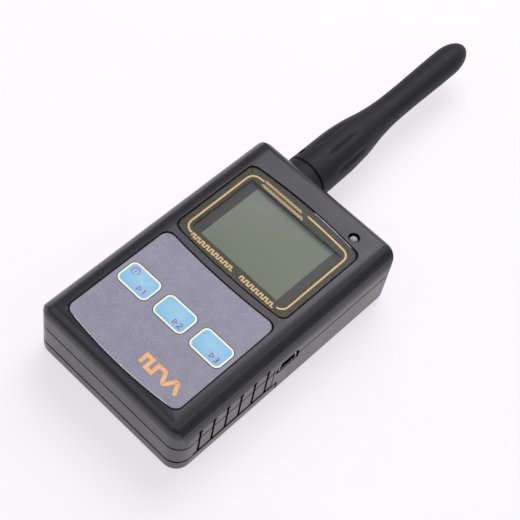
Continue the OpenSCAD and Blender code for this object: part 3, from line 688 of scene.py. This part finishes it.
def key_cap(number):
    """Key with a crowned top, a rounded rim, its retaining flange and stem, and its print."""
    node = f"key_{number}"
    low, high = box_mm(node)
    centre = (low + high) / 2
    width, length = high.x - low.x - 2 * FLANGE_OUT, high.y - low.y - 2 * FLANGE_OUT
    rim_z = high.z - KEY_DOME
    rings = [(0.0, low.z + FLANGE_HIGH), (0.0, rim_z - KEY_RIM), (0.1, rim_z - 0.1),
             (KEY_RIM, rim_z)]
    for i in range(1, KEY_CROWN_STEPS + 1):
        share = i / KEY_CROWN_STEPS
        inset = KEY_RIM + (length / 2 - KEY_RIM - 0.05) * share
        rings.append((inset, rim_z + KEY_DOME * (1 - (1 - share) ** 2)))
    mesh = bmesh.new()
    loops = []
    for inset, z in rings:
        outline = rounded(centre.x, centre.y, width - 2 * inset, length - 2 * inset,
                          max(KEY_CORNER - inset, 0.02), 6)
        loops.append([mesh.verts.new((x, y, z)) for x, y in outline])
    skin(mesh, loops)
    mesh.faces.new(loops[-1])
    mesh.faces.new(loops[0][::-1])
    flange = rounded(centre.x, centre.y, high.x - low.x, high.y - low.y, FLANGE_CORNER)
    plate(mesh, flange, [], low.z + FLANGE_LOW, low.z + FLANGE_HIGH)
    plate(mesh, circle(centre.x, centre.y, STEM_RADIUS), [], low.z, low.z + FLANGE_LOW)
    cap = finish_piece(f"{node}_cap", mesh, LOOKS["key_cyan"], node)
    unwrap_top(cap, centre, width, length)
    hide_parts(node)
    key_outline(node, centre, width, length, high.z)
    key_print(node, number, centre, high.z)


def unwrap_top(piece, centre, width, length):
    """Plan coordinates, 0 to 1 over the key, for its colour."""
    layer = piece.data.uv_layers.new(name="plan")
    for loop in piece.data.loops:
        off = piece.data.vertices[loop.vertex_index].co / MM - centre
        layer.data[loop.index].uv = (off.x / width + 0.5, off.y / length + 0.5)


def key_outline(node, centre, width, length, top):
    """Cream line round the key."""
    mesh = bmesh.new()
    loop = rounded(centre.x, centre.y, width - 2 * KEY_LINE_INSET, length - 2 * KEY_LINE_INSET,
                   KEY_CORNER - KEY_LINE_INSET)
    stroke(mesh, loop, KEY_LINE, top - KEY_DOME - 0.04, top - KEY_DOME * 0.72, closed=True)
    finish_piece(f"{node}_outline", mesh, INK_CREAM, node)


def key_print(node, number, centre, top):
    """Arrow and small numeral; the first key also has the usual on/off symbol."""
    mesh = bmesh.new()
    heights = (top - KEY_DOME, top - 0.005)
    x = centre.x + NUMERAL_PLACE[0]
    low = centre.y + NUMERAL_PLACE[1] + NUMERAL_LINE / 2
    high = low + NUMERAL_TALL - NUMERAL_LINE
    bend = (high - low) / 4
    numerals = {
        1: [(x - 0.5, high - 0.45), (x, high), (x, low)],
        2: arc(x, high - 0.52, 0.52, 165, -35) + [(x - 0.55, low), (x + 0.65, low)],
        3: arc(x, high - bend, bend, 150, -90) + arc(x, low + bend, bend, 90, -150)[1:],
    }
    stroke(mesh, numerals[number], NUMERAL_LINE, *heights)
    back, tip = centre.x + ARROW_LEFT, centre.x + ARROW_RIGHT
    arrow = [(back, low + 0.1), (back, high - 0.1), (tip, (low + high) / 2)]
    stroke(mesh, arrow, NUMERAL_LINE * 0.8, *heights, closed=True)
    if number == 1:
        x, y = centre.x + SYMBOL_PLACE[0], centre.y + SYMBOL_PLACE[1]
        stroke(mesh, circle(x, y, SYMBOL_RADIUS), SYMBOL_LINE, *heights, closed=True)
        stroke(mesh, [(x, y - SYMBOL_BAR), (x, y + SYMBOL_BAR)], SYMBOL_LINE, *heights)
    finish_piece(f"{node}_print", mesh, INK_PLUM, node)


# --- Antenna sheath ----------------------------------------------------------------------

# Outer radius, as (distance from the case, radius)
WHIP = ((0.4, 8.35), (12, 8.35), (18.5, 8.3), (22.5, 8.2), (26.5, 7.9), (30.5, 7.45),
        (34.5, 6.8), (38.5, 6.1), (42.5, 5.6), (46.5, 5.27), (50.5, 5.1), (58.5, 5.05),
        (66.5, 5.15), (74.5, 5.3), (82.5, 5.35))
TIP_LENGTH = 10.8
TIP_STEPS = 12
# Play in the bayonet lets the whip lean: where the lean starts, and how far left the tip stands
LEAN_START = 10.5
TIP_LEAN = 1.9
# Base ring: its rounded mouth, how much it is sunk, and the groove that parts it from the whip
MOUTH_ROUND = 0.35
MOUTH_LENGTH = 0.5
BASE_SUNK = 0.12
GROOVE_AT = 4.9
GROOVE_HALF = 0.5
GROOVE_DEPTH = 0.45
# Finger flutes: how many, the first one's turn, and where they fade in and out
FLUTES = 8
FLUTE_TURN = 17
FLUTE_DEPTH = 0.5
FLUTE_HALF = 1.3
FLUTE_IN = (11, 17)
FLUTE_OUT = (23, 31)
# Notch in one side of the base: where it starts and ends, its turn, half width and depth
NOTCH_AT = (7.8, 10.4)
NOTCH_TURN = -57
NOTCH_HALF = 1.9
NOTCH_DEPTH = 0.95
# Stepped bore that grips the antenna core, as (y, radius) from its closed end to the mouth
BORE = ((129.8, 0.4), (129.8, 3.3), (67.0, 3.3), (67.0, 4.35), (64.6, 4.35), (64.6, 5.9),
        (63.2, 5.9), (63.2, 7.2))
# Points round the whip, and the spacing of its rings near the case and beyond
AROUND = 160
FINE_STEP = 0.25
FINE_COUNT = 59
COARSE_STEP = 0.75


def whip_radius(distance):
    """Catmull-Rom curve through the stations."""
    i = max(k for k in range(len(WHIP) - 1) if WHIP[k][0] <= max(distance, WHIP[0][0]))
    a, b, c = WHIP[max(i - 1, 0)], WHIP[i], WHIP[i + 1]
    d = WHIP[min(i + 2, len(WHIP) - 1)]
    t = min(max((distance - b[0]) / (c[0] - b[0]), 0), 1)
    return 0.5 * (2 * b[1] + (c[1] - a[1]) * t + (2 * a[1] - 5 * b[1] + 4 * c[1] - d[1]) * t ** 2
                  + (3 * b[1] - a[1] - 3 * c[1] + d[1]) * t ** 3)


def ease(value, start, end):
    """Smooth step from 0 at start to 1 at end."""
    t = min(max((value - start) / (end - start), 0), 1)
    return t * t * (3 - 2 * t)


def sheath_radius(distance, mouth, turn):
    """Outer radius at a distance from the case and a turn in degrees from the top."""
    radius = whip_radius(distance)
    radius -= MOUTH_ROUND * (1 - ease(distance, mouth, mouth + MOUTH_LENGTH))
    radius -= GROOVE_DEPTH * max(0.0, 1 - ((distance - GROOVE_AT) / GROOVE_HALF) ** 2) ** 0.5
    before_groove = 1 - ease(distance, GROOVE_AT - 0.2, GROOVE_AT + 0.2)
    radius -= BASE_SUNK * before_groove * ease(distance, mouth + MOUTH_LENGTH, mouth + 1.2)
    from_notch = math.radians((turn - NOTCH_TURN + 180) % 360 - 180) * radius
    if NOTCH_AT[0] <= distance <= NOTCH_AT[1] and abs(from_notch) <= NOTCH_HALF:
        radius -= NOTCH_DEPTH
    depth = FLUTE_DEPTH * ease(distance, *FLUTE_IN) * (1 - ease(distance, *FLUTE_OUT))
    pitch = 360 / FLUTES
    off = (turn - FLUTE_TURN) % pitch
    off = math.radians(min(off, pitch - off)) * radius
    return radius - depth * max(0.0, 1 - (off / FLUTE_HALF) ** 2) ** 1.5


def sheath():
    """Moulded rubber whip: base ring, groove, eight tapering finger flutes, neck and round tip."""
    axis_x = (SHEATH_LOW.x + SHEATH_HIGH.x) / 2
    axis_z = (SHEATH_LOW.z + SHEATH_HIGH.z) / 2
    start, end = SHEATH_LOW.y, SHEATH_HIGH.y
    tip_start = end - TIP_LENGTH
    mesh = bmesh.new()
    rings = []

    def ring(y, radius_at):
        past = max(0.0, y - CASE_END - LEAN_START)
        middle = axis_x - TIP_LEAN * past / (end - CASE_END - LEAN_START)
        verts = []
        for k in range(AROUND):
            turn = 360 * k / AROUND
            across, up = math.sin(math.radians(turn)), math.cos(math.radians(turn))
            radius = radius_at(turn)
            verts.append(mesh.verts.new((middle + radius * across, y, axis_z + radius * up)))
        rings.append(verts)

    for y, radius in BORE + ((start + 0.3, 7.2), (start, 7.45)):
        ring(y, lambda turn: radius)
    fine = [start + MOUTH_LENGTH + FINE_STEP * i for i in range(FINE_COUNT + 1)]
    coarse_count = int((tip_start - fine[-1]) / COARSE_STEP)
    coarse = [fine[-1] + COARSE_STEP * i for i in range(1, coarse_count)]
    for y in [start + 0.05, start + 0.2] + fine + coarse:
        ring(y, lambda turn: sheath_radius(y - CASE_END, start - CASE_END, turn))
    for i in range(TIP_STEPS + 1):
        rise = math.radians(88 * i / TIP_STEPS)
        ring(tip_start + TIP_LENGTH * math.sin(rise), lambda turn: WHIP[-1][1] * math.cos(rise))
    skin(mesh, rings)
    mesh.faces.new(rings[0])
    close_tip(mesh, rings[-1], (axis_x - TIP_LEAN, end, axis_z))
    piece = finish_piece("antenna_sheath_skin", mesh, LOOKS["antenna_rubber"], "antenna_whip",
                         smooth_angle=50)
    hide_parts("antenna_sheath")


# --- Status lamp -------------------------------------------------------------------------

LAMP_RADIUS = 1.5
LAMP_FLANGE = 1.75
LAMP_FLANGE_TALL = 0.8
LAMP_AROUND = 40


def lamp():
    """Clear 3 mm lamp: flange, body, domed lens."""
    centre_x, centre_y = (LED_LOW.x + LED_HIGH.x) / 2, (LED_LOW.y + LED_HIGH.y) / 2
    flange_top = LED_LOW.z + LAMP_FLANGE_TALL
    dome = LED_HIGH.z - LAMP_RADIUS
    profile = [(LAMP_FLANGE, LED_LOW.z), (LAMP_FLANGE, flange_top),
               (LAMP_RADIUS, flange_top + 0.05), (LAMP_RADIUS, dome)]
    profile += [(r, dome + z) for r, z in arc(0, 0, LAMP_RADIUS, 10, 80, 7)]
    mesh = bmesh.new()
    rings = [[mesh.verts.new((x, y, z)) for x, y in circle(centre_x, centre_y, r, LAMP_AROUND)]
             for r, z in profile]
    skin(mesh, rings)
    mesh.faces.new(rings[0][::-1])
    close_tip(mesh, rings[-1], (centre_x, centre_y, LED_HIGH.z))
    piece = finish_piece("status_led_lens", mesh, LOOKS["led_clear"], "case")
    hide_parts("status_led")


window_mask()
display_border()
gap_shade_rings()
painted_highlights()
gold_line()
window_marks()
wave_mark()
for key in (1, 2, 3):
    key_cap(key)
sheath()
lamp()


# --- Studio ------------------------------------------------------------------------------

# Sky colour at the horizon and straight up, and the height and brightness of the steps between
SKY_LOW = (0.08, 0.08, 0.085, 1)
SKY_TOP = (0.42, 0.41, 0.44, 1)
SKY_BETWEEN = ((0.33, 0.06), (0.5, 0.28), (0.66, 0.4))
# Soft patches in the sky: direction, cosines where each fades in and is full, light
PATCHES = (
    ((-0.09, 0.61, 0.787), 0.885, 0.985, 2.4),
    ((-0.3, -0.7, 0.648), 0.82, 0.98, 0.62),
    ((0.62, 0.4, 0.675), 0.93, 0.995, 0.4),
)
# The instrument stands on a sheet that is lit from below, so its shadows are faint
FLOOR_GLOW = 0.7
FLOOR_HALF = 4000
FLOOR_TOP = -0.05
FLOOR_THICK = 4.0


def floor():
    """White sheet just below the case."""
    mesh = bmesh.new()
    sheet = [(FLOOR_HALF * x, FLOOR_HALF * y) for x, y in ((1, -1), (1, 1), (-1, 1), (-1, -1))]
    plate(mesh, sheet, [], FLOOR_TOP - FLOOR_THICK, FLOOR_TOP)
    paper = surface("studio_paper", (136, 134, 138), (140, 138, 142), (0.8, 0.9), grain=0.5,
                    bump=0.01, patch=60, level=0.0, Emission_Color=(0.99, 0.965, 1.0, 1),
                    Emission_Strength=FLOOR_GLOW)
    ground = make_object("floor", mesh, paper)


def aim(made, start, target, roll=0.0):
    """Stands a light or camera at start, looking at target, and turns it about its axis."""
    made.location = start * MM
    made.rotation_mode = "QUATERNION"
    look = (target - start).normalized().to_track_quat("-Z", "Y")
    made.rotation_quaternion = look @ Quaternion((0, 0, 1), math.radians(roll))
    bpy.context.scene.collection.objects.link(made)


def key_light():
    """Large soft light high up behind the left side; it shows in no reflection."""
    data = bpy.data.lights.new("key", "AREA")
    data.size = 700 * MM
    data.energy = 6.5
    light = bpy.data.objects.new("key", data)
    light.visible_glossy = False
    aim(light, Vector((-300, 500, 800)), Vector((0, 20, 10)))


def studio_sky():
    """Dim ceiling, darker towards the horizon, with a bright patch behind and two faint ones."""
    world = bpy.data.worlds.new("studio")
    bpy.context.scene.world = world
    world.use_nodes = True
    tree = world.node_tree
    where = add(tree, "ShaderNodeTexCoord").outputs["Generated"]
    up = add(tree, "ShaderNodeSeparateXYZ", {"Vector": where}).outputs["Z"]
    ramp = add(tree, "ShaderNodeValToRGB", {"Fac": up})
    stops = ramp.color_ramp.elements
    stops[0].position, stops[0].color = 0.0, SKY_LOW
    stops[1].position, stops[1].color = 1.0, SKY_TOP
    for position, level in SKY_BETWEEN:
        stops.new(position).color = (level, level * 0.98, level * 1.04, 1)
    color = ramp.outputs["Color"]
    for side, start, end, light in PATCHES:
        facing = add(tree, "ShaderNodeVectorMath", {0: where, 1: side}, operation="DOT_PRODUCT")
        glow = spread(tree, facing.outputs["Value"], 0, 1, start, end)
        color = mix(tree, glow, color, (light, light * 0.975, light * 1.05, 1), "ADD")
    background = tree.nodes["Background"]
    tree.links.new(color, background.inputs["Color"])
    background.inputs["Strength"].default_value = 1.0


def camera():
    """Long lens above the lower right of the instrument, turned about its axis."""
    data = bpy.data.cameras.new("camera")
    data.sensor_width = 36
    data.lens = 96.4
    data.shift_y = -0.0192
    data.clip_start = 0.01
    data.clip_end = 20
    view = bpy.data.objects.new("camera", data)
    aim(view, Vector((136.8, -188.4, 390.4)), Vector((-4.0, 22.2, 13.0)), roll=12.33)
    bpy.context.scene.camera = view


floor()
studio_sky()
key_light()
camera()
bpy.context.scene.view_settings.view_transform = "Standard"
